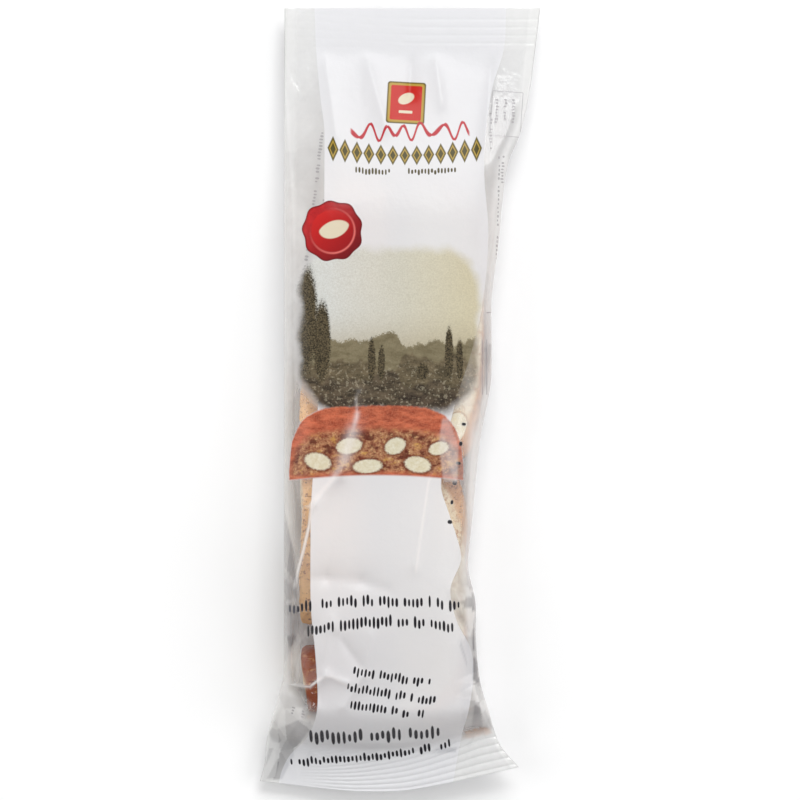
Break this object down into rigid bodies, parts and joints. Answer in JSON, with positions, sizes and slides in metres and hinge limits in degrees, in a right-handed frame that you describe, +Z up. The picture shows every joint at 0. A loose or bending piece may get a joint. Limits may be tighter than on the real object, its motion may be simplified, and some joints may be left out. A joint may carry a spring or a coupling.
{
  "type": "film packet of almond rusks",
  "caption": "Slim flow-wrapped film packet of almond rusks, lying flat, with a flat crimped seal at each end and clear film along both sides.",
  "frame": {"origin": "on the surface that the packet lies on, below the middle of its bounding box", "axes": "+X to the packet's right as its front panel is read, +Y along it to the top seal, +Z up out of the front panel"},
  "size_m": [0.0702, 0.1962, 0.0238],
  "materials": {
    "printed_film": "white-printed film, satin gloss",
    "clear_film": "clear film, glossy",
    "rusk_crust": "baked golden-brown crust with almonds, dull",
    "crumbs": "dry baked crumbs, dull"
  },
  "bodies": {
    "root": {"packet": "printed_film"}
  },
  "joints": []
}
